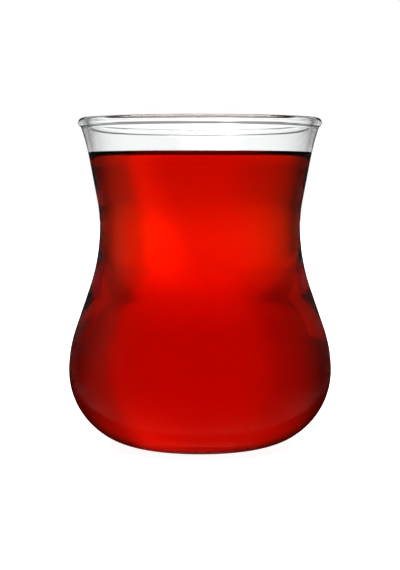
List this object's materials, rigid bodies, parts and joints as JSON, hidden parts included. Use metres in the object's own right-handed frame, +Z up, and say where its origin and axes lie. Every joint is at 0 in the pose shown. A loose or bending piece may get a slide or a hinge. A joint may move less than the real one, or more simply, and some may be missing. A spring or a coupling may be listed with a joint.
{
  "type": "glass of tea",
  "caption": "Tulip-shaped clear tea glass with a beaded flared rim, a narrow waist and a round belly on a small flat base, filled with red black tea to just under the rim.",
  "frame": {"origin": "middle of the flat base the glass stands on", "axes": "+Z up along the glass's own axis; the side shown first faces -Y, and the glass is round, so X and Y are otherwise free"},
  "size_m": [0.0592, 0.0592, 0.0735],
  "materials": {
    "clear_glass": "clear polished soda-lime glass",
    "tea": "clear deep red brewed black tea, a liquid with a flat wet top"
  },
  "bodies": {
    "root": {"glass": "clear_glass", "tea": "tea"}
  },
  "joints": []
}
